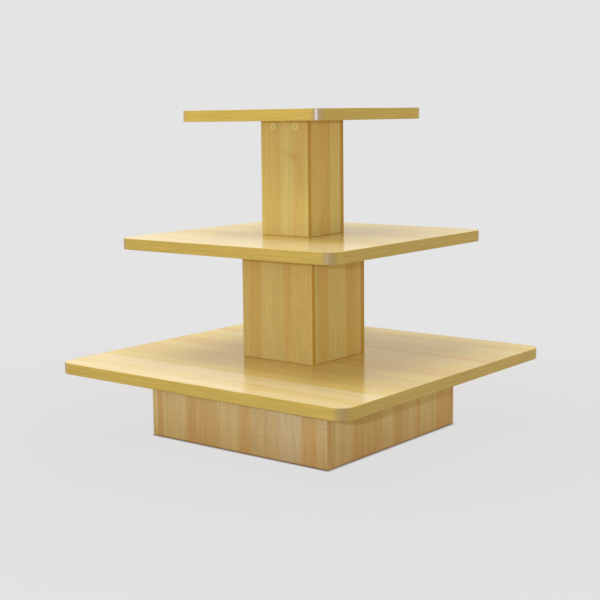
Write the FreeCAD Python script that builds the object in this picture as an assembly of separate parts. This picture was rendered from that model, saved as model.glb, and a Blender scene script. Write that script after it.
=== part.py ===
import FreeCAD, Part
import math
import os

# Tiered display table: three square shelves, each smaller than the one below, on a hollow
# plinth and two hollow box columns, all centred on one vertical axis.
# Units are millimetres. +Z is up and the origin is on the floor under the table's middle.
# The front is the -Y side and the right is the +X side.

INCH = 25.4

# Shelves: a doubled board core with laminate above, backer below and a band round the edge.
BOTTOM_SHELF_SIDE = 48 * INCH
MIDDLE_SHELF_SIDE = 36 * INCH
TOP_SHELF_SIDE = 24 * INCH
SHELF_THICKNESS = 1.5 * INCH
SHELF_CORNER_RADIUS = 2 * INCH
LAMINATE_THICKNESS = 1.0
BACKER_THICKNESS = 0.8
EDGE_BAND_THICKNESS = 3.0
EDGE_BAND_EASING = 1.2

# Plinth: four boards, open below, with posts in its corners.
PLINTH_SIDE = 30 * INCH
PLINTH_BOARD = 0.75 * INCH
BOTTOM_SHELF_HEIGHT = 9.25 * INCH  # from the floor to the shelf's underside
PANEL_FLOOR_GAP = 3.0
POST_SIDE = 2 * INCH
BRACE_THICKNESS = 0.75 * INCH
BRACE_DEPTH = 4 * INCH
CLEAT_WIDTH = 0.75 * INCH
CLEAT_DEPTH = 1.5 * INCH
CLEAT_END_GAP = 1 * INCH
CLEAT_SCREW_INSET = 1.5 * INCH  # from a cleat's end to its screw
JOINT_CLEARANCE = 0.2  # sideways play in the braces' cross lap

# Columns: four boards round a bottom plate, with battens in the corners.
LOWER_COLUMN_SIDE = 12 * INCH
LOWER_COLUMN_HEIGHT = 15.375 * INCH
UPPER_COLUMN_SIDE = 8 * INCH
UPPER_COLUMN_HEIGHT = 15.5 * INCH
COLUMN_BOARD = 0.625 * INCH
PLATE_THICKNESS = 0.625 * INCH
BATTEN_SIDE = 0.875 * INCH
EDGE_STRIP_THICKNESS = 1.0
EDGE_STRIP_EASING = 0.8  # radius on the box's upright corners
INSET_PANEL_EASING = 0.6  # radius on the left and right panels, where they meet the strips

# Cam fittings that pull each column up to the shelf it carries.
CAM_DIAMETER = 20.0
CAM_BACK_WALL = 3.2  # board left behind the cam
CAM_DROP = 0.75 * INCH  # from the shelf's underside to the cam's axis
UPPER_CAM_OFFSET = 1.875 * INCH  # from the middle of the panel
LOWER_CAM_OFFSET = 3 * INCH
CAM_BOLT_SHANK_DIAMETER = 5.0
CAM_BOLT_THREAD_DIAMETER = 6.3
CAM_BOLT_THREAD_LENGTH = 11.0
CAM_BOLT_HEAD_DIAMETER = 7.0
CAM_BOLT_HEAD_LENGTH = 3.0
CAP_DIAMETER = 1 * INCH
CAP_FLANGE = 1.2
CAP_EASING = 0.5
CAP_DISH_DIAMETER = 15.0
CAP_DISH_DEPTH = 0.5
CAP_SPIGOT_DIAMETER = 6.0
CAP_SPIGOT_LENGTH = 2.5

# Dowels between the columns' boards and the shelves.
DOWEL_DIAMETER = 8.0
DOWEL_LENGTH = 30.0
DOWEL_CORNER_INSET = 0.875 * INCH  # from the column's corner, on the full-width panels
DOWEL_PANEL_INSET = 1.5 * INCH  # from the inset panel's own edge

# Bolts that hold each column down on the shelf it stands on.
BOLT_DIAMETER = 0.25 * INCH
BOLT_HEAD_ACROSS_FLATS = 0.4375 * INCH
BOLT_HEAD_HEIGHT = 4.0
BOLT_POST_GAP = 12.0  # from a corner batten to the bolt's axis, both ways
BOLT_INSERT_DIAMETER = 0.375 * INCH
BOLT_INSERT_BACK_WALL = 3.0
WASHER_DIAMETER = 0.625 * INCH
WASHER_THICKNESS = 1.6

# Screws that hold the bottom shelf down on the plinth's cleats.
SCREW_DIAMETER = 4.2
SCREW_HEAD_DIAMETER = 8.4
SCREW_HEAD_HEIGHT = 2.6
SCREW_BITE = 1 * INCH  # length in the shelf

# Levelling feet: a swivel pad on a threaded stem, screwed into an insert in each post.
PAD_DIAMETER = 1.5 * INCH
PAD_DISC_HEIGHT = 5.0
PAD_HUB_DIAMETER = 0.875 * INCH
PAD_HUB_HEIGHT = 3.0
PAD_EASING = 1.0
PAD_FLOOR_WALL = 2.5  # below the stem's flange
STEM_DIAMETER = 0.3125 * INCH
STEM_FLANGE_DIAMETER = 12.0
STEM_FLANGE_HEIGHT = 2.4
STEM_COLLAR_ACROSS_FLATS = 0.5 * INCH
STEM_COLLAR_HEIGHT = 4.0
STEM_SPARE = 2.0  # stem left above its insert when the foot is fully out
FOOT_TRAVEL = 12.0
FOOT_INSERT_DIAMETER = 0.5 * INCH
FOOT_INSERT_LENGTH = 0.625 * INCH

# Clearances, all measured on the radius or on one side.
FITTED_CLEARANCE = 0.05  # dowels, threads, cams and running fits
BOLT_HOLE_CLEARANCE = 0.3
FACE_CLEARANCE = 0.3  # between faces that turn over each other
HOLE_END_CLEARANCE = 1.0  # past the end of a blind dowel, bolt or stem
FLANGE_CLEARANCE = 0.1  # over the stem's flange in the pad

# Levels, from the floor up.
BOTTOM_SHELF_TOP = BOTTOM_SHELF_HEIGHT + SHELF_THICKNESS
MIDDLE_SHELF_HEIGHT = BOTTOM_SHELF_TOP + LOWER_COLUMN_HEIGHT
MIDDLE_SHELF_TOP = MIDDLE_SHELF_HEIGHT + SHELF_THICKNESS
TOP_SHELF_HEIGHT = MIDDLE_SHELF_TOP + UPPER_COLUMN_HEIGHT

PAD_HEIGHT = PAD_DISC_HEIGHT + PAD_HUB_HEIGHT
COLLAR_BOTTOM = PAD_HEIGHT + FACE_CLEARANCE
POST_BOTTOM = COLLAR_BOTTOM + STEM_COLLAR_HEIGHT + FACE_CLEARANCE
STEM_TOP = POST_BOTTOM + FOOT_INSERT_LENGTH + FOOT_TRAVEL + STEM_SPARE

BOLT_INSERT_LENGTH = PLATE_THICKNESS - BOLT_INSERT_BACK_WALL

CORNERS = {
    "front_left": (-1, -1),
    "front_right": (1, -1),
    "back_right": (1, 1),
    "back_left": (-1, 1),
}
UP = FreeCAD.Vector(0, 0, 1)


def block(x_span, y_span, z_span):
    """Box between the two values of each span, in either order."""
    low = [min(span) for span in (x_span, y_span, z_span)]
    size = [abs(span[1] - span[0]) for span in (x_span, y_span, z_span)]
    return Part.makeBox(*size, FreeCAD.Vector(*low))


def rod(x, y, bottom, top, diameter):
    """Upright cylinder."""
    return Part.makeCylinder(diameter / 2, top - bottom, FreeCAD.Vector(x, y, bottom), UP)


def rod_along_y(x, z, y_from, y_to, diameter):
    """Level cylinder that runs from y_from to y_to."""
    way = FreeCAD.Vector(0, math.copysign(1, y_to - y_from), 0)
    return Part.makeCylinder(diameter / 2, abs(y_to - y_from), FreeCAD.Vector(x, y_from, z), way)


def cone_up(x, y, bottom, top, low_diameter, high_diameter):
    """Upright cone with its axis through (x, y)."""
    place = FreeCAD.Vector(x, y, bottom)
    return Part.makeCone(low_diameter / 2, high_diameter / 2, top - bottom, place, UP)


def hexagon(x, y, bottom, top, across_flats):
    """Upright hexagonal prism."""
    reach = across_flats / 2 / math.cos(math.pi / 6)
    turns = [math.pi / 3 * step for step in range(7)]
    points = [FreeCAD.Vector(x + reach * math.cos(t), y + reach * math.sin(t), bottom) for t in turns]
    return Part.Face(Part.makePolygon(points)).extrude(UP * (top - bottom))


def rounded_slab(side, radius, bottom, top):
    """Square slab centred on the table's axis, with its upright edges rounded."""
    slab = block((-side / 2, side / 2), (-side / 2, side / 2), (bottom, top))
    upright = [edge for edge in slab.Edges if edge.BoundBox.ZLength > (top - bottom) / 2]
    return slab.makeFillet(radius, upright)


def ease_level_edges(shape, easing):
    """Round over every edge that lies level in the shape's top and bottom faces."""
    box = shape.BoundBox
    levels = (box.ZMin, box.ZMax)
    flat = [edge for edge in shape.Edges if edge.BoundBox.ZLength < easing / 2]
    chosen = [e for e in flat if min(abs(e.BoundBox.ZMin - z) for z in levels) < easing / 2]
    return shape.makeFillet(easing, chosen)


def upright_edge_at(shape, x, y):
    """The shape's upright edge that stands nearest to (x, y)."""
    upright = [edge for edge in shape.Edges if edge.BoundBox.ZLength > shape.BoundBox.ZLength / 2]
    return min(upright, key=lambda e: math.dist((e.BoundBox.Center.x, e.BoundBox.Center.y), (x, y)))


def drilled(shape, holes):
    """The shape's one solid after the holes that reach it are cut out."""
    reaching = [hole for hole in holes if hole.BoundBox.intersect(shape.BoundBox)]
    if not reaching:
        return shape
    return shape.cut(reaching).Solids[0]


def group(solids):
    """Separate solids that share one node."""
    return Part.makeCompound(solids)


def box_of_panels(name, side, board, bottom, top):
    """Four upright boards: full-width front and back, left and right set in between them."""
    half = side / 2
    strip_start = half - EDGE_STRIP_THICKNESS
    z_span = (bottom, top)
    panels = {}
    strips = []
    for label, way in (("front", -1), ("back", 1)):
        y_span = (way * half, way * (half - board))
        panels[f"{name}_{label}_panel"] = block((-strip_start, strip_start), y_span, z_span)
        for end in (-1, 1):
            strip = block((end * strip_start, end * half), y_span, z_span)
            arris = upright_edge_at(strip, end * half, way * half)
            strips.append(strip.makeFillet(EDGE_STRIP_EASING, [arris]))
    for label, way in (("left", -1), ("right", 1)):
        x_span = (way * half, way * (half - board))
        y_span = (board - half, half - board)
        panel = block(x_span, y_span, z_span)
        arrises = [upright_edge_at(panel, way * half, y) for y in y_span]
        panels[f"{name}_{label}_panel"] = panel.makeFillet(INSET_PANEL_EASING, arrises)
    return panels, group(strips)


def shelf(name, side, bottom, holes):
    """Core, laminate, backer and edge band of one shelf."""
    top = bottom + SHELF_THICKNESS
    inner_side = side - 2 * EDGE_BAND_THICKNESS
    inner_radius = SHELF_CORNER_RADIUS - EDGE_BAND_THICKNESS
    core_bottom = bottom + BACKER_THICKNESS
    core_top = top - LAMINATE_THICKNESS
    core = rounded_slab(inner_side, inner_radius, core_bottom, core_top)
    laminate = rounded_slab(inner_side, inner_radius, core_top, top)
    backer = rounded_slab(inner_side, inner_radius, bottom, core_bottom)
    outside = ease_level_edges(rounded_slab(side, SHELF_CORNER_RADIUS, bottom, top), EDGE_BAND_EASING)
    band = outside.cut(rounded_slab(inner_side, inner_radius, bottom, top)).Solids[0]
    return {
        f"{name}_shelf_core": drilled(core, holes),
        f"{name}_shelf_laminate": drilled(laminate, holes),
        f"{name}_shelf_backer": drilled(backer, holes),
        f"{name}_shelf_edge_band": band,
    }


def cover_cap(x, z, face, way):
    """Dished cap that lies on a panel's face, with a spigot into the cam behind it."""
    front = face + way * CAP_FLANGE
    flange = rod_along_y(x, z, face, front, CAP_DIAMETER)
    level = [edge for edge in flange.Edges if edge.BoundBox.YLength < CAP_FLANGE / 2]
    rim = min(level, key=lambda edge: abs(edge.BoundBox.Center.y - front))
    dish = rod_along_y(x, z, front, front - way * CAP_DISH_DEPTH, CAP_DISH_DIAMETER)
    spigot = rod_along_y(x, z, face, face - way * CAP_SPIGOT_LENGTH, CAP_SPIGOT_DIAMETER)
    return flange.makeFillet(CAP_EASING, [rim]).cut(dish).fuse(spigot).Solids[0]


def cam_fittings(side, cam_offset, top):
    """Cams, bolts and caps at the head of a column, with the holes that they need."""
    cams, bolts, caps, holes = [], [], [], []
    axis_z = top - CAM_DROP
    cam_length = COLUMN_BOARD - CAM_BACK_WALL
    head_bottom = axis_z - CAM_BOLT_HEAD_LENGTH / 2
    head_top = axis_z + CAM_BOLT_HEAD_LENGTH / 2
    bolt_way = CAM_BOLT_HEAD_DIAMETER + 2 * BOLT_HOLE_CLEARANCE
    thread_top = top + CAM_BOLT_THREAD_LENGTH
    for way in (-1, 1):
        face = way * side / 2
        cam_end = face - way * cam_length
        bolt_y = face - way * COLUMN_BOARD / 2
        spigot_end = face - way * CAP_SPIGOT_LENGTH
        for x in (-cam_offset, cam_offset):
            keyway = rod(x, bolt_y, head_bottom - BOLT_HOLE_CLEARANCE, top, bolt_way)
            spigot_hole = rod_along_y(
                x, axis_z, face, spigot_end, CAP_SPIGOT_DIAMETER + 2 * FITTED_CLEARANCE)
            cam = rod_along_y(x, axis_z, face, cam_end, CAM_DIAMETER)
            cams.append(cam.cut([keyway, spigot_hole]).Solids[0])
            head = rod(x, bolt_y, head_bottom, head_top, CAM_BOLT_HEAD_DIAMETER)
            shank = rod(x, bolt_y, head_bottom, top, CAM_BOLT_SHANK_DIAMETER)
            thread = rod(x, bolt_y, top, thread_top, CAM_BOLT_THREAD_DIAMETER)
            bolts.append(head.fuse([shank, thread]).removeSplitter().Solids[0])
            caps.append(cover_cap(x, axis_z, face, way))
            bore = CAM_DIAMETER + 2 * FITTED_CLEARANCE
            thread_bore = CAM_BOLT_THREAD_DIAMETER + 2 * FITTED_CLEARANCE
            holes += [
                rod_along_y(x, axis_z, face, cam_end, bore),
                keyway,
                rod(x, bolt_y, top, thread_top + HOLE_END_CLEARANCE, thread_bore),
            ]
    return group(cams), group(bolts), group(caps), holes


def dowels_at(side, levels):
    """Dowels centred on each level in the four boards of a column, with their holes."""
    half = side / 2
    line = half - COLUMN_BOARD / 2
    across = half - DOWEL_CORNER_INSET
    along = half - COLUMN_BOARD - DOWEL_PANEL_INSET
    spots = [(x, y) for y in (-line, line) for x in (-across, across)]
    spots += [(x, y) for x in (-line, line) for y in (-along, along)]
    dowels, holes = [], []
    reach = DOWEL_LENGTH / 2
    bore = DOWEL_DIAMETER + 2 * FITTED_CLEARANCE
    for level in levels:
        for x, y in spots:
            dowels.append(rod(x, y, level - reach, level + reach, DOWEL_DIAMETER))
            ends = (level - reach - HOLE_END_CLEARANCE, level + reach + HOLE_END_CLEARANCE)
            holes.append(rod(x, y, *ends, bore))
    return group(dowels), holes


def hold_down_bolts(side, bottom):
    """Bolts up through the shelf below into a column's bottom plate, with their holes."""
    offset = side / 2 - COLUMN_BOARD - BATTEN_SIDE - BOLT_POST_GAP
    washer_top = bottom - SHELF_THICKNESS
    head_top = washer_top - WASHER_THICKNESS
    insert_top = bottom + BOLT_INSERT_LENGTH
    bolts, washers, inserts, shelf_holes, plate_holes = [], [], [], [], []
    loose = BOLT_DIAMETER + 2 * BOLT_HOLE_CLEARANCE
    fitted = BOLT_DIAMETER + 2 * FITTED_CLEARANCE
    for x_way, y_way in CORNERS.values():
        x, y = x_way * offset, y_way * offset
        head = hexagon(x, y, head_top - BOLT_HEAD_HEIGHT, head_top, BOLT_HEAD_ACROSS_FLATS)
        shank = rod(x, y, head_top, insert_top, BOLT_DIAMETER)
        bolts.append(head.fuse(shank).Solids[0])
        ring = rod(x, y, head_top, washer_top, WASHER_DIAMETER)
        washers.append(ring.cut(rod(x, y, head_top, washer_top, loose)))
        sleeve = rod(x, y, bottom, insert_top, BOLT_INSERT_DIAMETER)
        inserts.append(sleeve.cut(rod(x, y, bottom, insert_top, fitted)))
        shelf_holes.append(rod(x, y, washer_top, bottom, loose))
        seat = BOLT_INSERT_DIAMETER + 2 * FITTED_CLEARANCE
        plate_holes.append(rod(x, y, bottom, insert_top, seat))
    return group(bolts), group(washers), group(inserts), shelf_holes, plate_holes


def column(name, side, cam_offset, bottom, height):
    """One box column, and the holes that its fittings need in the shelves it meets."""
    top = bottom + height
    inner = side / 2 - COLUMN_BOARD
    panels, strips = box_of_panels(name, side, COLUMN_BOARD, bottom, top)
    cams, cam_bolts, caps, cam_holes = cam_fittings(side, cam_offset, top)
    dowels, dowel_holes = dowels_at(side, (bottom, top))
    bolts, washers, inserts, shelf_holes, plate_holes = hold_down_bolts(side, bottom)
    plate = block((-inner, inner), (-inner, inner), (bottom, bottom + PLATE_THICKNESS))
    battens = []
    for x_way, y_way in CORNERS.values():
        x_span = (x_way * inner, x_way * (inner - BATTEN_SIDE))
        y_span = (y_way * inner, y_way * (inner - BATTEN_SIDE))
        battens.append(block(x_span, y_span, (bottom + PLATE_THICKNESS, top)))
    pieces = {node: drilled(board, cam_holes + dowel_holes) for node, board in panels.items()}
    pieces.update({
        f"{name}_edge_strips": strips,
        f"{name}_corner_battens": group(battens),
        f"{name}_bottom_plate": drilled(plate, plate_holes),
        f"{name}_cams": cams,
        f"{name}_cam_bolts": cam_bolts,
        f"{name}_cover_caps": caps,
        f"{name}_dowels": dowels,
        f"{name}_bolts": bolts,
        f"{name}_bolt_washers": washers,
        f"{name}_bolt_inserts": inserts,
    })
    return pieces, cam_holes + dowel_holes + shelf_holes


def plinth_braces(top):
    """Two boards on edge that cross under the bottom shelf in a half lap."""
    reach = PLINTH_SIDE / 2 - PLINTH_BOARD
    half = BRACE_THICKNESS / 2
    slot = half + JOINT_CLEARANCE
    bottom = top - BRACE_DEPTH
    middle = (top + bottom) / 2
    side_to_side = block((-reach, reach), (-half, half), (bottom, top))
    front_to_back = block((-half, half), (-reach, reach), (bottom, top))
    upper_slot = block((-slot, slot), (-half, half), (middle, top))
    lower_slot = block((-half, half), (-slot, slot), (bottom, middle))
    return {
        "plinth_brace_side_to_side": side_to_side.cut(upper_slot).Solids[0],
        "plinth_brace_front_to_back": front_to_back.cut(lower_slot).Solids[0],
    }


def plinth_cleats(top):
    """Cleats round the plinth's head, their screws up into the shelf, and the holes."""
    wall = PLINTH_SIDE / 2 - PLINTH_BOARD
    start = BRACE_THICKNESS / 2 + CLEAT_END_GAP
    end = wall - POST_SIDE - CLEAT_END_GAP
    bottom = top - CLEAT_DEPTH
    screw_top = top + SCREW_BITE
    centre_line = wall - CLEAT_WIDTH / 2
    cleats, screws, holes = [], [], []
    for way in (-1, 1):
        for side in (-1, 1):
            run = (side * start, side * end)
            depth = (way * wall, way * (wall - CLEAT_WIDTH))
            spots = [side * (start + CLEAT_SCREW_INSET), side * (end - CLEAT_SCREW_INSET)]
            across = [(spot, way * centre_line) for spot in spots]
            along = [(way * centre_line, spot) for spot in spots]
            cleats.append((block(run, depth, (bottom, top)), across))
            cleats.append((block(depth, run, (bottom, top)), along))
    solids = []
    for cleat, spots in cleats:
        cleat_holes = []
        for x, y in spots:
            wide = SCREW_HEAD_DIAMETER + 2 * FITTED_CLEARANCE
            narrow = SCREW_DIAMETER + 2 * FITTED_CLEARANCE
            head_top = bottom + SCREW_HEAD_HEIGHT
            head = cone_up(x, y, bottom, head_top, SCREW_HEAD_DIAMETER, SCREW_DIAMETER)
            screws.append(head.fuse(rod(x, y, head_top, screw_top, SCREW_DIAMETER)).Solids[0])
            cleat_holes += [
                cone_up(x, y, bottom, head_top, wide, narrow),
                rod(x, y, head_top, top, narrow),
            ]
            holes.append(rod(x, y, top, screw_top + HOLE_END_CLEARANCE, narrow))
        solids.append(drilled(cleat, cleat_holes))
    return {"plinth_cleats": group(solids), "plinth_cleat_screws": group(screws)}, holes


def levelling_foot(x, y):
    """Swivel pad and threaded stem of one foot, screwed right in."""
    disc = ease_level_edges(rod(x, y, 0, PAD_DISC_HEIGHT, PAD_DIAMETER), PAD_EASING)
    hub = rod(x, y, PAD_DISC_HEIGHT, PAD_HEIGHT, PAD_HUB_DIAMETER)
    flange_top = PAD_FLOOR_WALL + STEM_FLANGE_HEIGHT
    socket_top = flange_top + FLANGE_CLEARANCE
    socket = rod(x, y, PAD_FLOOR_WALL, socket_top, STEM_FLANGE_DIAMETER + 2 * FITTED_CLEARANCE)
    throat = rod(x, y, socket_top, PAD_HEIGHT, STEM_DIAMETER + 2 * FITTED_CLEARANCE)
    pad = disc.fuse(hub).cut([socket, throat]).Solids[0]
    flange = rod(x, y, PAD_FLOOR_WALL, flange_top, STEM_FLANGE_DIAMETER)
    thread = rod(x, y, PAD_FLOOR_WALL, STEM_TOP, STEM_DIAMETER)
    collar_top = COLLAR_BOTTOM + STEM_COLLAR_HEIGHT
    collar = hexagon(x, y, COLLAR_BOTTOM, collar_top, STEM_COLLAR_ACROSS_FLATS)
    stem = flange.fuse([thread, collar]).removeSplitter().Solids[0]
    return pad, stem


def plinth_corners(top):
    """Corner posts with their threaded inserts, and the four levelling feet."""
    wall = PLINTH_SIDE / 2 - PLINTH_BOARD
    centre = wall - POST_SIDE / 2
    insert_top = POST_BOTTOM + FOOT_INSERT_LENGTH
    posts, inserts, pieces = [], [], {}
    for label, (x_way, y_way) in CORNERS.items():
        x, y = x_way * centre, y_way * centre
        x_span = (x_way * wall, x_way * (wall - POST_SIDE))
        y_span = (y_way * wall, y_way * (wall - POST_SIDE))
        seat = FOOT_INSERT_DIAMETER + 2 * FITTED_CLEARANCE
        way_up = STEM_DIAMETER + 2 * BOLT_HOLE_CLEARANCE
        posts.append(drilled(block(x_span, y_span, (POST_BOTTOM, top)), [
            rod(x, y, POST_BOTTOM, insert_top, seat),
            rod(x, y, insert_top, STEM_TOP + HOLE_END_CLEARANCE, way_up),
        ]))
        sleeve = rod(x, y, POST_BOTTOM, insert_top, FOOT_INSERT_DIAMETER)
        running = STEM_DIAMETER + 2 * FITTED_CLEARANCE
        inserts.append(sleeve.cut(rod(x, y, POST_BOTTOM, insert_top, running)))
        pad, stem = levelling_foot(x, y)
        pieces[f"{label}_foot_pad"] = pad
        pieces[f"{label}_foot_stem"] = stem
    pieces["plinth_corner_posts"] = group(posts)
    pieces["foot_inserts"] = group(inserts)
    return pieces


def plinth(top):
    """Everything under the bottom shelf, and the screw holes that the shelf needs."""
    pieces, strips = box_of_panels("plinth", PLINTH_SIDE, PLINTH_BOARD, PANEL_FLOOR_GAP, top)
    pieces["plinth_edge_strips"] = strips
    pieces.update(plinth_braces(top))
    cleats, holes = plinth_cleats(top)
    pieces.update(cleats)
    pieces.update(plinth_corners(top))
    return pieces, holes


def table():
    """Every node of the table, from the floor up."""
    pieces, plinth_holes = plinth(BOTTOM_SHELF_HEIGHT)
    lower, lower_holes = column(
        "lower_column", LOWER_COLUMN_SIDE, LOWER_CAM_OFFSET, BOTTOM_SHELF_TOP, LOWER_COLUMN_HEIGHT)
    upper, upper_holes = column(
        "upper_column", UPPER_COLUMN_SIDE, UPPER_CAM_OFFSET, MIDDLE_SHELF_TOP, UPPER_COLUMN_HEIGHT)
    pieces.update(lower)
    pieces.update(upper)
    pieces.update(shelf("bottom", BOTTOM_SHELF_SIDE, BOTTOM_SHELF_HEIGHT, plinth_holes + lower_holes))
    pieces.update(shelf("middle", MIDDLE_SHELF_SIDE, MIDDLE_SHELF_HEIGHT, lower_holes + upper_holes))
    pieces.update(shelf("top", TOP_SHELF_SIDE, TOP_SHELF_HEIGHT, upper_holes))
    return pieces


os.makedirs("parts", exist_ok=True)
for node, shape in table().items():
    shape.exportStep(f"parts/{node}.step")
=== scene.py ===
"""The looks of the tiered display table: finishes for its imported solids, a pale studio and the camera."""

import math

import bmesh
import bpy
from mathutils import Matrix, Vector


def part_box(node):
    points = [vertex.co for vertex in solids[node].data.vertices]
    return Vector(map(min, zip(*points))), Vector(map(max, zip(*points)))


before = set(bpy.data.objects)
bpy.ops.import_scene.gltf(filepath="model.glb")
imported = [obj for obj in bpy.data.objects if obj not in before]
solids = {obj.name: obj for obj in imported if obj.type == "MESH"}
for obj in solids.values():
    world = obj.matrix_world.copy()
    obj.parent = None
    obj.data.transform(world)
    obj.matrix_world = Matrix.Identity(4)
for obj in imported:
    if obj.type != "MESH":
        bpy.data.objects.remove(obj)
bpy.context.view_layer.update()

MM = 0.001
SIDES = ("front", "back", "left", "right")
COLUMNS = ("lower_column", "upper_column")
SHELVES = ("bottom_shelf", "middle_shelf", "top_shelf")
CORNERS = ("front_left", "front_right", "back_right", "back_left")
PLASTIC_IOR = 1.5
# Most values of a noise lie between these two
NOISE_LOW, NOISE_HIGH = 0.3, 0.7


# Helpers

def colour(code):
    """An sRGB hex value as linear red, green, blue and alpha."""
    parts = [int(code[i:i + 2], 16) / 255 for i in (1, 3, 5)]
    linear = [c / 12.92 if c <= 0.04045 else ((c + 0.055) / 1.055) ** 2.4 for c in parts]
    return (*linear, 1.0)


def add(tree, kind, inputs=None, **settings):
    """Adds a shader node with its settings. Each input takes a value, or a link from a node or a socket."""
    made = tree.nodes.new("ShaderNode" + kind)
    for name, value in settings.items():
        setattr(made, name, value)
    usable = [s for s in made.inputs if s.enabled]
    for key, value in (inputs or {}).items():
        socket = usable[key] if isinstance(key, int) else next(s for s in usable if s.name == key)
        if isinstance(value, bpy.types.Node):
            value = next(s for s in value.outputs if s.enabled)
        if isinstance(value, bpy.types.NodeSocket):
            tree.links.new(value, socket)
        else:
            socket.default_value = value
    return made


def finish(name, build, *facts, **named_facts):
    """A material of that name, whose surface is the shader that build returns."""
    made = bpy.data.materials.new(name)
    made.use_nodes = True
    tree = made.node_tree
    tree.nodes.clear()
    add(tree, "OutputMaterial", {"Surface": build(tree, *facts, **named_facts)})
    return made


def grain_noise(tree, size, **inputs):
    """Noise in patches of that size along X, Y and Z, which draws grain, rings and flutes."""
    place = add(tree, "TexCoord").outputs["Object"]
    stretched = add(tree, "Mapping", {"Vector": place, "Scale": [1 / length for length in size]})
    return add(tree, "TexNoise", {"Vector": stretched, "Scale": 1.0, **inputs})


def dress(node, material):
    """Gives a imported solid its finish."""
    for slot in solids[node].material_slots:
        slot.material = material


# Melamine beech print on the boards and shelves: butted planks of several tones under a clear hard film

COLUMN_TONES = {
    "pale": "#D2BC67",
    "light": "#CEB762",
    "tan": "#CEB35C",
    "rippled": "#D0B45E",
    "pink": "#CDAC54",
    "golden": "#D2BC60",
    "seam": "#BA974E",
}
PLINTH_TONES = {
    "cream": "#DFCD90",
    "pale": "#E0CC84",
    "light": "#E1CC82",
    "tan": "#DABD72",
    "rippled": "#DCC681",
    "pink": "#DAB86C",
}
SHELF_TONES = {
    "cream": "#EAD69D",
    "peach": "#E7CF8F",
    "sand": "#E7D598",
    "pale": "#E2CF7D",
    "light": "#E2C970",
    "tan": "#DDC069",
    "pink": "#DDB962",
    "orange": "#DEB55A",
}
# Widths in millimetres: along +X on front and back boards, along +Y on left and right boards and on shelves
PLANKS = {
    "plinth_front": (
        (20, "light"), (28, "pink"), (45, "light"), (60, "pale"), (57, "pink"), (90, "tan"), (95, "light"),
        (50, "pink"), (113, "rippled"), (102, "cream"), (60, "pink"), (42, "rippled")),
    "plinth_right": (
        (38, "tan"), (97, "pale"), (58, "pink"), (117, "tan"), (65, "pale"), (55, "pink"), (85, "pale"),
        (25, "pink"), (105, "pale"), (55, "pink"), (62, "tan")),
    "plinth_back": (
        (64, "tan"), (48, "pale"), (110, "rippled"), (72, "light"), (36, "pink"), (98, "pale"), (60, "tan"),
        (88, "light"), (40, "pink"), (104, "tan"), (42, "pale")),
    "plinth_left": (
        (46, "pale"), (82, "tan"), (58, "pink"), (94, "light"), (70, "pale"), (108, "rippled"), (44, "pink"),
        (86, "tan"), (62, "light"), (74, "pale"), (38, "tan")),
    "lower_column_front": (
        (28, "light"), (54, "pink"), (51, "pale"), (53, "light"), (25, "pink"), (94, "rippled")),
    "lower_column_right": (
        (31, "light"), (59, "pink"), (102, "pale"), (54, "pink"), (36, "rippled"), (6, "seam"),
        (17, "golden")),
    "lower_column_back": ((48, "light"), (66, "rippled"), (38, "pink"), (84, "pale"), (69, "tan")),
    "lower_column_left": ((52, "tan"), (74, "pale"), (40, "pink"), (88, "light"), (51, "rippled")),
    "upper_column_front": ((23, "golden"), (59, "tan"), (54, "pale"), (41, "tan"), (26, "light")),
    "upper_column_right": ((66, "rippled"), (57, "pink"), (59, "pale"), (5, "seam"), (16, "golden")),
    "upper_column_back": ((58, "pale"), (34, "pink"), (72, "light"), (39, "tan")),
    "upper_column_left": ((44, "tan"), (68, "light"), (30, "pink"), (61, "pale")),
    "bottom_shelf": (
        (55, "cream"), (60, "peach"), (95, "cream"), (75, "light"), (87, "tan"), (98, "tan"), (75, "light"),
        (65, "pink"), (50, "pink"), (100, "light"), (75, "pale"), (45, "orange"), (110, "light"),
        (90, "pale"), (70, "tan"), (70, "light")),
    "middle_shelf": (
        (60, "cream"), (72, "sand"), (98, "cream"), (64, "light"), (90, "tan"), (76, "pale"), (58, "pale"),
        (84, "tan"), (104, "pale"), (70, "light"), (60, "pale"), (79, "light")),
    "top_shelf": (
        (70, "light"), (56, "pink"), (92, "pale"), (64, "tan"), (80, "light"), (48, "orange"), (96, "pale"),
        (104, "light")),
}
# Each part's print is painted a little lighter or darker, as painted light and shade for the light that falls
# on it
PAINTED_LIGHT_GAIN = {
    "plinth": 1.0, "lower_column": 0.94, "upper_column": 1.01,
    "bottom_shelf": 1.0, "middle_shelf": 1.0, "top_shelf": 0.94}
# Layers of the print, by size across and along the grain. The finest fibres and flecks are drawn two or three
# times as coarse as in the real print, so that they show.
FIBRE = {"across": 4 * MM, "along": 130 * MM, "detail": 3.0, "low": 0.925, "high": 1.065}
FIGURE = {"across": 11 * MM, "along": 380 * MM, "detail": 3.0, "low": -0.045, "high": 0.045}
FLECK = {"across": 1.8 * MM, "along": 8 * MM, "detail": 1.0, "low": -0.02, "high": 0.02}
RIPPLE = {"across": 26 * MM, "along": 4.5 * MM, "detail": 2.0, "low": -0.065, "high": 0.065}
DRIFT = {"across": 26 * MM, "along": 420 * MM, "detail": 2.0, "low": -0.1, "high": 0.34}
# What the drift goes over to, by the axis of the grain
DRIFT_TONE = {"X": "#DAB86C", "Z": "#D2A65A"}
# The middle range of a layer's noise
LAYER_LOW, LAYER_HIGH = 0.32, 0.68
# Painted shade: dark at each board's foot where it meets what is below, and on the plinth browner towards the
# floor.
# The fade runs between two heights over the foot.
PAINTED_FOOT_SHADE = {"fade_start": 1 * MM, "fade_end": 4 * MM, "tint": "#E0C09A"}
PAINTED_LOW_SHADE = {"fade_start": 0.0, "fade_end": 170 * MM, "tint": "#F0E0CB"}
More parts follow.
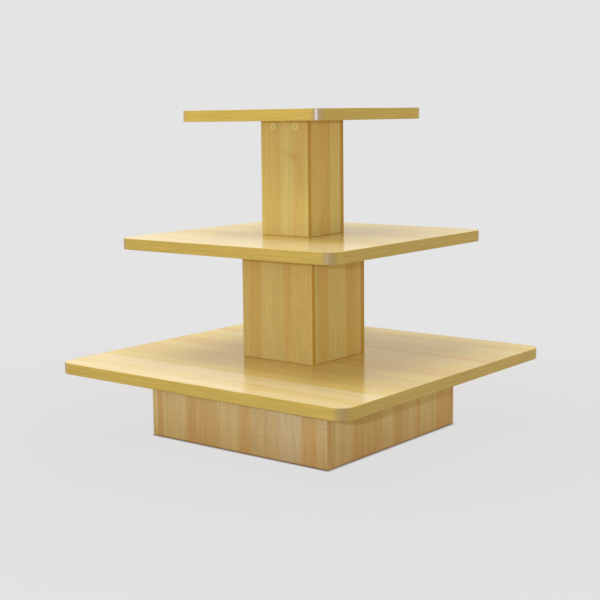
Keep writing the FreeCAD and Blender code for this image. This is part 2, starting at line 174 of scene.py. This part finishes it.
# Satin film on the boards only softens the light, and high gloss on the shelves mirrors the columns
SATIN_FILM = {"Roughness": 0.4, "Specular IOR Level": 0.25}
GLOSS_FILM = {"Roughness": 0.17, "Specular IOR Level": 0.4}


def plank_ramp(tree, place, tones, planks, start, painted_light_gain):
    """Each plank's tone across the face, with its ripple figure in alpha."""
    total = sum(width for width, tone in planks)
    share = add(tree, "MapRange", {
        "Value": place, "From Min": start, "From Max": start + total * MM, "To Min": 0.0, "To Max": 1.0})
    ramp = add(tree, "ValToRGB", {"Fac": share})
    stops = ramp.color_ramp.elements
    ramp.color_ramp.interpolation = "CONSTANT"
    stops.remove(stops[1])
    reached = 0
    for number, (width, tone) in enumerate(planks):
        stop = stops[0] if number == 0 else stops.new(reached / total)
        red, green, blue = colour(tones[tone])[:3]
        # Each tone is scaled by the part's painted light and shade
        stop.color = (red * painted_light_gain, green * painted_light_gain, blue * painted_light_gain, 1.0 if tone == "rippled" else 0.0)
        reached += width
    return ramp


def streaks(tree, axis, across, along, detail, low, high):
    """Noise drawn out along the grain, with its middle range spread from low to high."""
    size = [along if letter == axis else across for letter in "XYZ"]
    noise = grain_noise(tree, size, Detail=detail, Roughness=0.6)
    return add(tree, "MapRange", {
        "Value": noise, "From Min": LAYER_LOW, "From Max": LAYER_HIGH, "To Min": low, "To Max": high},
        clamp=False)


# The one knot in the print, on the upper column's front, with X and Z in metres
KNOT = (-0.006, 0.994)
KNOT_TONE = "#BF8C3C"
# Its marks are an eye, and a patch lower on the right. Each fades out between two shares of its half size.
KNOT_EYE = {"place": (0.0, 0.0), "half": (7 * MM, 4 * MM), "share": 0.3}
KNOT_PATCH = {"place": (56 * MM, 18 * MM), "half": (24 * MM, 15 * MM), "share": 0.4}
MARK_FADE = (0.2, 1.3)
# The grain below swings out to the right, in lines that fade to the sides and at both ends
SWEEP = 70 * MM
BEND = 20 * MM
LINE_SPACING = 13 * MM
LINES_SPREAD = 26 * MM
LINES_SHARE = 0.5
LINES_START = (-2 * MM, 6 * MM)
LINES_END = (30 * MM, 200 * MM)
# All of it wanders sideways a little, as grown wood does
WANDER_SIZE = 45 * MM
WANDER = 5 * MM


def knot_mark(tree, aside, below, place, half, share):
    """An oval that fades out from its middle."""
    oval = add(tree, "VectorMath", {0: add(tree, "CombineXYZ", {
        "X": add(tree, "Math", {0: aside, 1: place[0]}, operation="SUBTRACT"),
        "Y": add(tree, "Math", {0: below, 1: place[1]}, operation="SUBTRACT")}),
        1: (*half, 1.0)}, operation="DIVIDE")
    far = add(tree, "VectorMath", {0: oval}, operation="LENGTH")
    return add(tree, "MapRange", {
        "Value": far.outputs["Value"], "From Min": MARK_FADE[0], "From Max": MARK_FADE[1],
        "To Min": share, "To Max": 0.0}, interpolation_type="SMOOTHSTEP")


def bent_grain(tree, aside, below):
    """Lines beside a curve that leaves the knot to the right and turns upright as it goes down."""
    fall = add(tree, "Math", {
        0: math.e, 1: add(tree, "Math", {0: below, 1: -BEND}, operation="DIVIDE")}, operation="POWER")
    sweep = add(tree, "Math", {
        0: add(tree, "Math", {0: 1.0, 1: fall}, operation="SUBTRACT"), 1: SWEEP}, operation="MULTIPLY")
    slope = add(tree, "Math", {0: fall, 1: SWEEP / BEND}, operation="MULTIPLY")
    steep = add(tree, "Math", {
        0: add(tree, "Math", {0: slope, 1: slope, 2: 1.0}, operation="MULTIPLY_ADD")}, operation="SQRT")
    off_line = add(tree, "Math", {
        0: add(tree, "Math", {0: aside, 1: sweep}, operation="SUBTRACT"), 1: steep}, operation="DIVIDE")
    wave = add(tree, "Math", {
        0: add(tree, "Math", {0: off_line, 1: math.tau / LINE_SPACING}, operation="MULTIPLY")},
        operation="COSINE")
    wave = add(tree, "Math", {0: wave, 1: 0.5, 2: 0.5}, operation="MULTIPLY_ADD")
    line = add(tree, "MapRange", {
        "Value": add(tree, "Math", {0: off_line}, operation="ABSOLUTE"), "From Min": 0.0,
        "From Max": LINES_SPREAD, "To Min": LINES_SHARE, "To Max": 0.0}, interpolation_type="SMOOTHSTEP")
    started = add(tree, "MapRange", {
        "Value": below, "From Min": LINES_START[0], "From Max": LINES_START[1], "To Min": 0.0, "To Max": 1.0})
    faded = add(tree, "MapRange", {
        "Value": below, "From Min": LINES_END[0], "From Max": LINES_END[1], "To Min": 1.0, "To Max": 0.0})
    for part in (wave, started, faded):
        line = add(tree, "Math", {0: line, 1: part}, operation="MULTIPLY")
    return line


def knot_share(tree, place, knot):
    """How far the print goes over to the knot's tone."""
    wander = add(tree, "TexNoise", {
        "Vector": add(tree, "TexCoord").outputs["Object"], "Scale": 1 / WANDER_SIZE, "Detail": 2.0})
    wander = add(tree, "MapRange", {
        "Value": wander, "From Min": NOISE_LOW, "From Max": NOISE_HIGH, "To Min": -WANDER, "To Max": WANDER},
        clamp=False)
    aside = add(tree, "Math", {0: place.outputs["X"], 1: knot[0]}, operation="SUBTRACT")
    aside = add(tree, "Math", {0: aside, 1: wander}, operation="ADD")
    below = add(tree, "Math", {0: knot[1], 1: place.outputs["Z"]}, operation="SUBTRACT")
    eye = knot_mark(tree, aside, below, **KNOT_EYE)
    patch = knot_mark(tree, aside, below, **KNOT_PATCH)
    marks = add(tree, "Math", {0: eye, 1: patch}, operation="MAXIMUM")
    return add(tree, "Math", {0: bent_grain(tree, aside, below), 1: marks}, operation="MAXIMUM")


def paint_shade_at_foot(tree, tone, height, foot, fade_start, fade_end, tint):
    """The tone multiplied by a painted shade at the board's foot, fading out upwards."""
    low_down = add(tree, "MapRange", {
        "Value": height, "From Min": foot + fade_start, "From Max": foot + fade_end,
        "To Min": 1.0, "To Max": 0.0})
    return add(tree, "Mix", {
        "Factor": low_down, "A": tone, "B": colour(tint)}, data_type="RGBA", blend_type="MULTIPLY")


def beech_print(tree, tones, planks, across, along, start, film, painted_light_gain, foot=None, scuffed=False, knot=None):
    """Printed beech planks: fibres, flecks, a slow drift of tone and, on some planks, a ripple across them.

    The film over the print is smooth, so the pattern is in the colour and not in the surface.
    """
    place = add(tree, "SeparateXYZ", {"Vector": add(tree, "TexCoord").outputs["Object"]})
    ramp = plank_ramp(tree, place.outputs[across], tones, planks, start, painted_light_gain)
    ripple = add(tree, "Math", {
        0: streaks(tree, along, **RIPPLE), 1: ramp.outputs["Alpha"]}, operation="MULTIPLY")
    shade = streaks(tree, along, **FIBRE)
    for layer in (streaks(tree, along, **FIGURE), streaks(tree, along, **FLECK), ripple):
        shade = add(tree, "Math", {0: shade, 1: layer}, operation="ADD")
    drift = add(tree, "Math", {0: streaks(tree, along, **DRIFT), 1: 0.0}, operation="MAXIMUM")
    tone = add(tree, "Mix", {"Factor": drift, "A": ramp, "B": colour(DRIFT_TONE[along])}, data_type="RGBA")
    if knot:
        tone = add(tree, "Mix", {
            "Factor": knot_share(tree, place, knot), "A": tone, "B": colour(KNOT_TONE)}, data_type="RGBA")
    tone = add(tree, "Mix", {"Factor": 1.0, "A": tone, "B": shade}, data_type="RGBA", blend_type="MULTIPLY")
    # Painted contact shade at the board's foot
    if foot is not None:
        tone = paint_shade_at_foot(tree, tone, place.outputs["Z"], foot, **PAINTED_FOOT_SHADE)
    # On the plinth, painted shade that darkens and browns the print towards the floor
    if scuffed:
        tone = paint_shade_at_foot(tree, tone, place.outputs["Z"], foot, **PAINTED_LOW_SHADE)
    return add(tree, "BsdfPrincipled", {"Base Color": tone, "IOR": PLASTIC_IOR, **film})


def face_the_boxes():
    """Satin print on the four boards of the plinth and of each column, each with its own run of planks."""
    for box in ("plinth", *COLUMNS):
        tones = PLINTH_TONES if box == "plinth" else COLUMN_TONES
        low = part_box(f"{box}_front_panel")[0]
        for side in SIDES:
            name = f"{box}_{side}"
            across, start = ("X", low.x) if side in ("front", "back") else ("Y", low.y)
            knot = KNOT if name == "upper_column_front" else None
            printed = finish(f"melamine_beech_{name}", beech_print, tones, PLANKS[name], across, "Z", start,
                             SATIN_FILM, PAINTED_LIGHT_GAIN[box], foot=low.z, scuffed=box == "plinth", knot=knot)
            dress(f"{name}_panel", printed)


def top_the_shelves():
    """High-gloss print on the shelves, with planks along X."""
    for shelf in SHELVES:
        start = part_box(f"{shelf}_edge_band")[0].y
        printed = finish(f"gloss_beech_laminate_{shelf}", beech_print, SHELF_TONES, PLANKS[shelf], "Y", "X",
                         start, GLOSS_FILM, PAINTED_LIGHT_GAIN[shelf])
        dress(f"{shelf}_laminate", printed)


# Edge band: 3 mm extruded ABS, printed with close level grain lines and left with a satin surface

BEND_RADIUS = 50.8 * MM
BAND_LINE = (150 * MM, 150 * MM, 2.8 * MM)
BAND_LINE_SHADE = (0.87, 1.12)
BAND_LINE_RELIEF = 0.06 * MM
BAND_STREAK = (340 * MM, 340 * MM, 7 * MM)
BAND_STREAK_SHADE = 0.06
BAND_PATCH = 180 * MM
BAND_TONES = ("#C1A646", "#BA9C3F")
# How far past the straight run the painted shade and sheen on the bent corner start, and where they are
# strongest
BAND_BEND = (5 * MM, 35 * MM)
BENT_CORNER_SHADE_TONE = "#A68E54"
BENT_CORNER_SHADE_SHARE = 0.88
# Each shelf's band is painted a little lighter or darker as painted light, the top one lightest
BAND_PAINTED_LIGHT_GAIN = {"bottom_shelf": 1.0, "middle_shelf": 0.99, "top_shelf": 1.08}


def drawn_edge_band(tree, straight, painted_light_gain):
    """Slightly raised grain lines, on two close tones that go over to a greyer, darker one at the corners as
    painted shade and sheen.
    """
    place = add(tree, "TexCoord").outputs["Object"]
    lines = grain_noise(tree, BAND_LINE, Detail=2.0, Roughness=0.6)
    wide_lines = grain_noise(tree, BAND_STREAK, Detail=2.0)
    patches = add(tree, "TexNoise", {"Vector": place, "Scale": 1 / BAND_PATCH, "Detail": 2.0})
    first, second = map(colour, BAND_TONES)
    tone = add(tree, "Mix", {"Factor": patches, "A": first, "B": second}, data_type="RGBA")
    reach = add(tree, "SeparateXYZ", {"Vector": add(tree, "VectorMath", {0: place}, operation="ABSOLUTE")})
    nearer = add(tree, "Math", {0: reach.outputs["X"], 1: reach.outputs["Y"]}, operation="MINIMUM")
    # Painted shade and sheen: the bent corners go greyer and darker
    bent = add(tree, "MapRange", {
        "Value": nearer, "From Min": straight + BAND_BEND[0], "From Max": straight + BAND_BEND[1],
        "To Min": 0.0, "To Max": BENT_CORNER_SHADE_SHARE}, interpolation_type="SMOOTHSTEP")
    tone = add(tree, "Mix", {"Factor": bent, "A": tone, "B": colour(BENT_CORNER_SHADE_TONE)}, data_type="RGBA")
    # The line shades are scaled by the shelf's painted light gain
    fine = add(tree, "MapRange", {
        "Value": lines, "From Min": NOISE_LOW, "From Max": NOISE_HIGH,
        "To Min": BAND_LINE_SHADE[0] * painted_light_gain, "To Max": BAND_LINE_SHADE[1] * painted_light_gain})
    wide = add(tree, "MapRange", {
        "Value": wide_lines, "From Min": NOISE_LOW, "From Max": NOISE_HIGH,
        "To Min": -BAND_STREAK_SHADE, "To Max": BAND_STREAK_SHADE})
    shade = add(tree, "Math", {0: fine, 1: wide}, operation="ADD")
    tone = add(tree, "Mix", {"Factor": 1.0, "A": tone, "B": shade}, data_type="RGBA", blend_type="MULTIPLY")
    bump = add(tree, "Bump", {"Height": lines, "Strength": 0.35, "Distance": BAND_LINE_RELIEF})
    return add(tree, "BsdfPrincipled", {
        "Base Color": tone, "Roughness": 0.3, "IOR": PLASTIC_IOR, "Normal": bump})


# Edge strip: 1 mm printed strip on the ends of the front and back boards, darker and warmer than their faces

STRIP_GRAIN = (4 * MM, 4 * MM, 220 * MM)
GOLDEN_STRIP = ("#B28824", "#C49A31")
TAN_STRIP = ("#C79B50", "#D6AE64")


def printed_strip(tree, dark, light):
    """Upright grain under the same satin film as on the boards."""
    grain = grain_noise(tree, STRIP_GRAIN, Detail=3.0, Roughness=0.6)
    tone = add(tree, "Mix", {"Factor": grain, "A": colour(dark), "B": colour(light)}, data_type="RGBA")
    return add(tree, "BsdfPrincipled", {"Base Color": tone, "IOR": PLASTIC_IOR, **SATIN_FILM})


# Backing sheet: matt balancing laminate under each shelf

BACKING_GRAIN = (300 * MM, 9 * MM, 9 * MM)


def matt_backing_sheet(tree):
    """Unglazed paper laminate, with a faint print of grain along X."""
    grain = grain_noise(tree, BACKING_GRAIN, Detail=4.0, Roughness=0.6)
    tone = add(tree, "Mix", {
        "Factor": grain, "A": colour("#C3A56C"), "B": colour("#D2B67F")}, data_type="RGBA")
    return add(tree, "BsdfPrincipled", {"Base Color": tone, "Roughness": 0.55, "IOR": PLASTIC_IOR})


# Particle board: pressed chips, seen only where a board is open

CHIP = 3.5 * MM
CHIP_RELIEF = 0.3 * MM


def pressed_chips(tree):
    """Each chip has its own brown, and the surface is slightly rough between them."""
    place = add(tree, "TexCoord").outputs["Object"]
    chips = add(tree, "TexVoronoi", {"Vector": place, "Scale": 1 / CHIP, "Randomness": 1.0})
    shade = add(tree, "SeparateColor", {"Color": chips.outputs["Color"]})
    tone = add(tree, "Mix", {
        "Factor": shade, "A": colour("#A88456"), "B": colour("#CDAE7C")}, data_type="RGBA")
    bump = add(tree, "Bump", {"Height": chips.outputs["Distance"], "Strength": 0.4, "Distance": CHIP_RELIEF})
    return add(tree, "BsdfPrincipled", {"Base Color": tone, "Roughness": 0.8, "Normal": bump})


# Planed softwood: battens, posts, braces and cleats

RING_WIDTH = 6 * MM
RING_LENGTH = 400 * MM
LATE_WOOD = (0.46, 0.62)
RING_RELIEF = 0.2 * MM


def planed_softwood(tree, axis):
    """Pale early wood between thin orange late-wood rings, drawn out along the grain."""
    size = [RING_LENGTH if letter == axis else RING_WIDTH for letter in "XYZ"]
    rings = grain_noise(tree, size, Scale=0.6, Detail=2.0, Distortion=0.4)
    late = add(tree, "MapRange", {
        "Value": rings, "From Min": LATE_WOOD[0], "From Max": LATE_WOOD[1], "To Min": 0.0, "To Max": 1.0})
    tone = add(tree, "Mix", {
        "Factor": late, "A": colour("#DCC494"), "B": colour("#BE9258")}, data_type="RGBA")
    bump = add(tree, "Bump", {"Height": rings, "Strength": 0.2, "Distance": RING_RELIEF})
    return add(tree, "BsdfPrincipled", {"Base Color": tone, "Roughness": 0.6, "Normal": bump})


# Fluted beech dowels

FLUTE = (0.9 * MM, 0.9 * MM, 40 * MM)
FLUTE_RELIEF = 0.3 * MM


def fluted_beech(tree):
    """Close upright flutes pressed into hard pale beech."""
    flutes = grain_noise(tree, FLUTE, Detail=1.0)
    tone = add(tree, "Mix", {
        "Factor": flutes, "A": colour("#B98E60"), "B": colour("#DDBB8C")}, data_type="RGBA")
    bump = add(tree, "Bump", {"Height": flutes, "Strength": 0.6, "Distance": FLUTE_RELIEF})
    return add(tree, "BsdfPrincipled", {"Base Color": tone, "Roughness": 0.55, "Normal": bump})


# Metals: grey cast zinc, bright plated steel and yellow turned brass. Their grit is drawn a few times as
# coarse as the real one, which is too fine to show.

DIE_CAST_ZINC = {
    "dark": "#8C8E90", "bright": "#A6A8AA", "grit": 0.8 * MM, "roughness": 0.42, "relief": 0.05 * MM}
ZINC_PLATED_STEEL = {
    "dark": "#B9BBB8", "bright": "#CDCFCE", "grit": 2 * MM, "roughness": 0.25, "relief": 0.02 * MM}
TURNED_BRASS = {
    "dark": "#C79F55", "bright": "#D9B46A", "grit": 1.2 * MM, "roughness": 0.28, "relief": 0.02 * MM}


def bare_metal(tree, dark, bright, grit, roughness, relief):
    """Two tones of one metal in patches the size of its grit, with the same patches in the surface."""
    place = add(tree, "TexCoord").outputs["Object"]
    grain = add(tree, "TexNoise", {"Vector": place, "Scale": 1 / grit, "Detail": 3.0, "Roughness": 0.6})
    tone = add(tree, "Mix", {"Factor": grain, "A": colour(dark), "B": colour(bright)}, data_type="RGBA")
    bump = add(tree, "Bump", {"Height": grain, "Strength": 0.5, "Distance": relief})
    return add(tree, "BsdfPrincipled", {
        "Base Color": tone, "Metallic": 1.0, "Roughness": roughness, "Normal": bump})


# Moulded plastic caps

CAP_RADIUS = 12.7 * MM
CAP_DISH_EDGE = (5 * MM, 8 * MM)
CAP_MOTTLE = 4 * MM
CAP_MOTTLE_SHADE = (0.97, 1.03)
CAP_RELIEF = 0.1 * MM


def moulded_cap(tree, aside, height):
    """Satin plastic in a yellow near the boards', painted darker in the middle as shade in its dish, inside a
    paler rim.
    """
    place = add(tree, "TexCoord").outputs["Object"]
    folded = add(tree, "VectorMath", {0: place}, operation="ABSOLUTE")
    apart = add(tree, "SeparateXYZ", {"Vector": add(tree, "VectorMath", {
        0: folded, 1: (aside, 0.0, height)}, operation="SUBTRACT")})
    from_middle = add(tree, "VectorMath", {0: add(tree, "CombineXYZ", {
        "X": apart.outputs["X"], "Z": apart.outputs["Z"]})}, operation="LENGTH")
    rim = add(tree, "MapRange", {
        "Value": from_middle.outputs["Value"], "From Min": CAP_DISH_EDGE[0], "From Max": CAP_DISH_EDGE[1],
        "To Min": 0.0, "To Max": 1.0})
    mottle = add(tree, "TexNoise", {"Vector": place, "Scale": 1 / CAP_MOTTLE, "Detail": 2.0})
    shade = add(tree, "MapRange", {
        "Value": mottle, "From Min": NOISE_LOW, "From Max": NOISE_HIGH,
        "To Min": CAP_MOTTLE_SHADE[0], "To Max": CAP_MOTTLE_SHADE[1]})
    # Painted shade: the middle of the cap darker than its paler rim
    tone = add(tree, "Mix", {"Factor": rim, "A": colour("#C8BA57"), "B": colour("#DACF73")}, data_type="RGBA")
    tone = add(tree, "Mix", {"Factor": 1.0, "A": tone, "B": shade}, data_type="RGBA", blend_type="MULTIPLY")
    bump = add(tree, "Bump", {"Height": mottle, "Strength": 0.1, "Distance": CAP_RELIEF})
    return add(tree, "BsdfPrincipled", {
        "Base Color": tone, "Roughness": 0.35, "IOR": PLASTIC_IOR, "Normal": bump})


# Moulded nylon foot pads: the spark-eroded texture of the mould is also drawn a few times as coarse

NYLON_IOR = 1.53
NYLON_GRIT = 0.6 * MM
NYLON_RELIEF = 0.1 * MM


def moulded_nylon(tree):
    """Near black, with a fine even grit that keeps it from shining."""
    place = add(tree, "TexCoord").outputs["Object"]
    grit = add(tree, "TexNoise", {"Vector": place, "Scale": 1 / NYLON_GRIT, "Detail": 2.0})
    tone = add(tree, "Mix", {
        "Factor": grit, "A": colour("#1C1C1D"), "B": colour("#2A2A2B")}, data_type="RGBA")
    bump = add(tree, "Bump", {"Height": grit, "Strength": 0.3, "Distance": NYLON_RELIEF})
    return add(tree, "BsdfPrincipled", {
        "Base Color": tone, "Roughness": 0.5, "IOR": NYLON_IOR, "Normal": bump})


# Everything but the printed faces

def dress_the_shelves(chips):
    """Edge band, backing sheet and core of each shelf."""
    backing = finish("matt_backing_laminate", matt_backing_sheet)
    for shelf in SHELVES:
        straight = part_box(f"{shelf}_edge_band")[1].x - BEND_RADIUS
        band = finish(f"satin_abs_edge_band_{shelf}", drawn_edge_band, straight, BAND_PAINTED_LIGHT_GAIN[shelf])
        dress(f"{shelf}_edge_band", band)
        dress(f"{shelf}_backer", backing)
        dress(f"{shelf}_core", chips)


def dress_the_columns(chips, upright_wood, plated):
    """Edge strips, timber, fittings and caps of each column."""
    strip = finish("golden_printed_strip", printed_strip, *GOLDEN_STRIP)
    dowel = finish("fluted_beech_dowel", fluted_beech)
    zinc = finish("die_cast_zinc", bare_metal, **DIE_CAST_ZINC)
    brass = finish("turned_brass", bare_metal, **TURNED_BRASS)
    for box in COLUMNS:
        low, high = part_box(f"{box}_cover_caps")
        cap = finish(f"satin_moulded_cap_{box}", moulded_cap, high.x - CAP_RADIUS, (low.z + high.z) / 2)
        dress(f"{box}_cover_caps", cap)
        dress(f"{box}_edge_strips", strip)
        dress(f"{box}_bottom_plate", chips)
        dress(f"{box}_corner_battens", upright_wood)
        dress(f"{box}_dowels", dowel)
        dress(f"{box}_cams", zinc)
        dress(f"{box}_bolt_inserts", brass)
        for part in ("cam_bolts", "bolts", "bolt_washers"):
            dress(f"{box}_{part}", plated)


def dress_the_plinth(upright_wood, plated):
    """Edge strips, timber, screws and levelling feet under the bottom shelf."""
    wood_along_x = finish("planed_softwood_along_x", planed_softwood, "X")
    wood_along_y = finish("planed_softwood_along_y", planed_softwood, "Y")
    nylon = finish("black_moulded_nylon", moulded_nylon)
    dress("plinth_edge_strips", finish("tan_printed_strip", printed_strip, *TAN_STRIP))
    dress("plinth_corner_posts", upright_wood)
    dress("plinth_cleats", wood_along_x)
    dress("plinth_brace_side_to_side", wood_along_x)
    dress("plinth_brace_front_to_back", wood_along_y)
    dress("plinth_cleat_screws", plated)
    dress("foot_inserts", plated)
    for corner in CORNERS:
        dress(f"{corner}_foot_pad", nylon)
        dress(f"{corner}_foot_stem", plated)


def dress_the_rest():
    """Makes the finishes that several sub-parts share, then dresses the sub-parts with them and their own."""
    chips = finish("pressed_particle_board", pressed_chips)
    upright_wood = finish("planed_softwood_upright", planed_softwood, "Z")
    plated = finish("zinc_plated_steel", bare_metal, **ZINC_PLATED_STEEL)
    dress_the_shelves(chips)
    dress_the_columns(chips, upright_wood, plated)
    dress_the_plinth(upright_wood, plated)


# Camera

CAMERA_PLACE = Vector((2.6572, -3.4560, 1.1104))
CAMERA_TURN = math.radians(39.72)  # from +Y towards -X
CAMERA_DIP = math.radians(7.46)
CAMERA_ROLL = math.radians(-0.82)
CAMERA_LENS = 74.96
CAMERA_SENSOR = 36
CAMERA_SHIFT = (0.0719, -0.0330)


def place_camera():
    """Stands at chest height off the front right corner."""
    data = bpy.data.cameras.new("camera")
    data.lens = CAMERA_LENS
    data.sensor_width = CAMERA_SENSOR
    data.shift_x, data.shift_y = CAMERA_SHIFT
    camera = bpy.data.objects.new("camera", data)
    level = math.pi / 2
    turned = Matrix.Rotation(CAMERA_TURN, 4, "Z") @ Matrix.Rotation(level - CAMERA_DIP, 4, "X")
    camera.matrix_world = Matrix.Translation(CAMERA_PLACE) @ turned @ Matrix.Rotation(CAMERA_ROLL, 4, "Z")
    bpy.context.scene.collection.objects.link(camera)
    bpy.context.scene.camera = camera


# Studio

BACKGROUND = colour("#E4E4E4")
# What the gloss mirrors in place of the background: the warm pale walls of a shop
SURROUNDINGS = colour("#F2E6D2")
FILL = colour("#FFFFFF")
FILL_LEVEL = 0.37
FLOOR_SIZE = 30.0
FLOOR_TONE = colour("#A48F70")
# How much of the floor is background, from near the table out to where no shadow is left
OPEN_SHARE = (0.92, 1.0)
OPEN_REACH = (0.8, 2.2)
# Under the plinth the floor is left dark, up to just past the edge of the boards
PLINTH_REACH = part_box("plinth_front_panel")[1].x
DARK_REACH = (PLINTH_REACH - 6 * MM, PLINTH_REACH + 12 * MM)


def seen_share(tree):
    """One for camera, gloss and transmission rays, which show a thing, and none for those that light it."""
    path = add(tree, "LightPath")
    shown = add(tree, "Math", {
        0: path.outputs["Is Camera Ray"], 1: path.outputs["Is Glossy Ray"]}, operation="ADD", use_clamp=True)
    return add(tree, "Math", {
        0: shown, 1: path.outputs["Is Transmission Ray"]}, operation="ADD", use_clamp=True)


def studio_floor(tree):
    """Pale floor that keeps a soft shadow near the table and runs out into the background."""
    place = add(tree, "TexCoord").outputs["Object"]
    away = add(tree, "VectorMath", {0: place}, operation="LENGTH").outputs["Value"]
    open_share = add(tree, "MapRange", {
        "Value": away, "From Min": OPEN_REACH[0], "From Max": OPEN_REACH[1],
        "To Min": OPEN_SHARE[0], "To Max": OPEN_SHARE[1]})
    reach = add(tree, "SeparateXYZ", {"Vector": add(tree, "VectorMath", {0: place}, operation="ABSOLUTE")})
    square = add(tree, "Math", {0: reach.outputs["X"], 1: reach.outputs["Y"]}, operation="MAXIMUM")
    outside = add(tree, "MapRange", {
        "Value": square, "From Min": DARK_REACH[0], "From Max": DARK_REACH[1], "To Min": 0.0, "To Max": 1.0})
    flat_share = add(tree, "Math", {0: open_share, 1: outside}, operation="MULTIPLY")
    flat_part = add(tree, "Math", {0: seen_share(tree), 1: flat_share}, operation="MULTIPLY")
    lit = add(tree, "BsdfDiffuse", {"Color": FLOOR_TONE})
    flat = add(tree, "Emission", {"Color": BACKGROUND, "Strength": 1.0})
    return add(tree, "MixShader", {"Fac": flat_part, 1: lit, 2: flat})


def lay_floor():
    """A flat sheet under the feet."""
    mesh = bpy.data.meshes.new("studio_floor")
    sheet = bmesh.new()
    bmesh.ops.create_grid(sheet, x_segments=1, y_segments=1, size=FLOOR_SIZE / 2)
    sheet.to_mesh(mesh)
    sheet.free()
    mesh.materials.append(finish("studio_floor", studio_floor))
    floor = bpy.data.objects.new("studio_floor", mesh)
    bpy.context.scene.collection.objects.link(floor)


def light_world():
    """Even fill light. In its place the camera sees the background, and the gloss sees the surroundings."""
    world = bpy.data.worlds.new("studio")
    world.use_nodes = True
    bpy.context.scene.world = world
    tree = world.node_tree
    tree.nodes.clear()
    fill = add(tree, "Background", {"Color": FILL, "Strength": FILL_LEVEL})
    in_gloss = add(tree, "LightPath").outputs["Is Glossy Ray"]
    shown = add(tree, "Mix", {"Factor": in_gloss, "A": BACKGROUND, "B": SURROUNDINGS}, data_type="RGBA")
    pale = add(tree, "Background", {"Color": shown, "Strength": 1.0})
    add(tree, "OutputWorld", {"Surface": add(tree, "MixShader", {"Fac": seen_share(tree), 1: fill, 2: pale})})


# Lamps. The big soft boxes stay out of the gloss, where they would clip to white. The small bluish lamp is
# mirrored, and draws a bright line on a bent corner.

WHITE = (1.0, 1.0, 1.0)
LAMPS = {
    "overhead_softbox": {"place": (-0.6, -1.1, 4.6), "aim": (0.0, 0.0, 0.7), "size": 4.5, "watts": 190},
    "left_softbox": {
        "place": (-0.95, -3.5, 0.9), "aim": (0.0, 0.0, 0.6), "size": 1.5, "watts": 28,
        "tint": (1.0, 1.0, 1.1)},
    "right_softbox": {
        "place": (3.3, 1.6, 0.75), "aim": (0.0, 0.0, 0.55), "size": 1.3, "watts": 27,
        "tint": (1.08, 1.0, 0.76)},
    "back_softbox": {"place": (-1.3, 3.5, 1.0), "aim": (0.0, 0.0, 0.5), "size": 2.0, "watts": 30},
    "camera_lamp": {
        "place": CAMERA_PLACE + Vector((-0.25, -0.2, 0.1)), "aim": (0.0, 0.0, 0.6), "size": 0.06, "watts": 50,
        "tint": (0.85, 0.97, 1.8), "mirrored": True},
}


def hang_lamp(name, place, aim, size, watts, tint=WHITE, mirrored=False):
    """A square lamp that faces its aim."""
    data = bpy.data.lights.new(name, "AREA")
    data.shape = "SQUARE"
    data.size = size
    data.energy = watts
    data.color = tint
    lamp = bpy.data.objects.new(name, data)
    lamp.visible_glossy = mirrored
    facing = (Vector(aim) - Vector(place)).to_track_quat("-Z", "Y")
    lamp.matrix_world = Matrix.Translation(place) @ facing.to_matrix().to_4x4()
    bpy.context.scene.collection.objects.link(lamp)


face_the_boxes()
top_the_shelves()
dress_the_rest()
place_camera()
lay_floor()
for lamp_name, lamp_facts in LAMPS.items():
    hang_lamp(lamp_name, **lamp_facts)
light_world()
bpy.context.scene.view_settings.view_transform = "Standard"
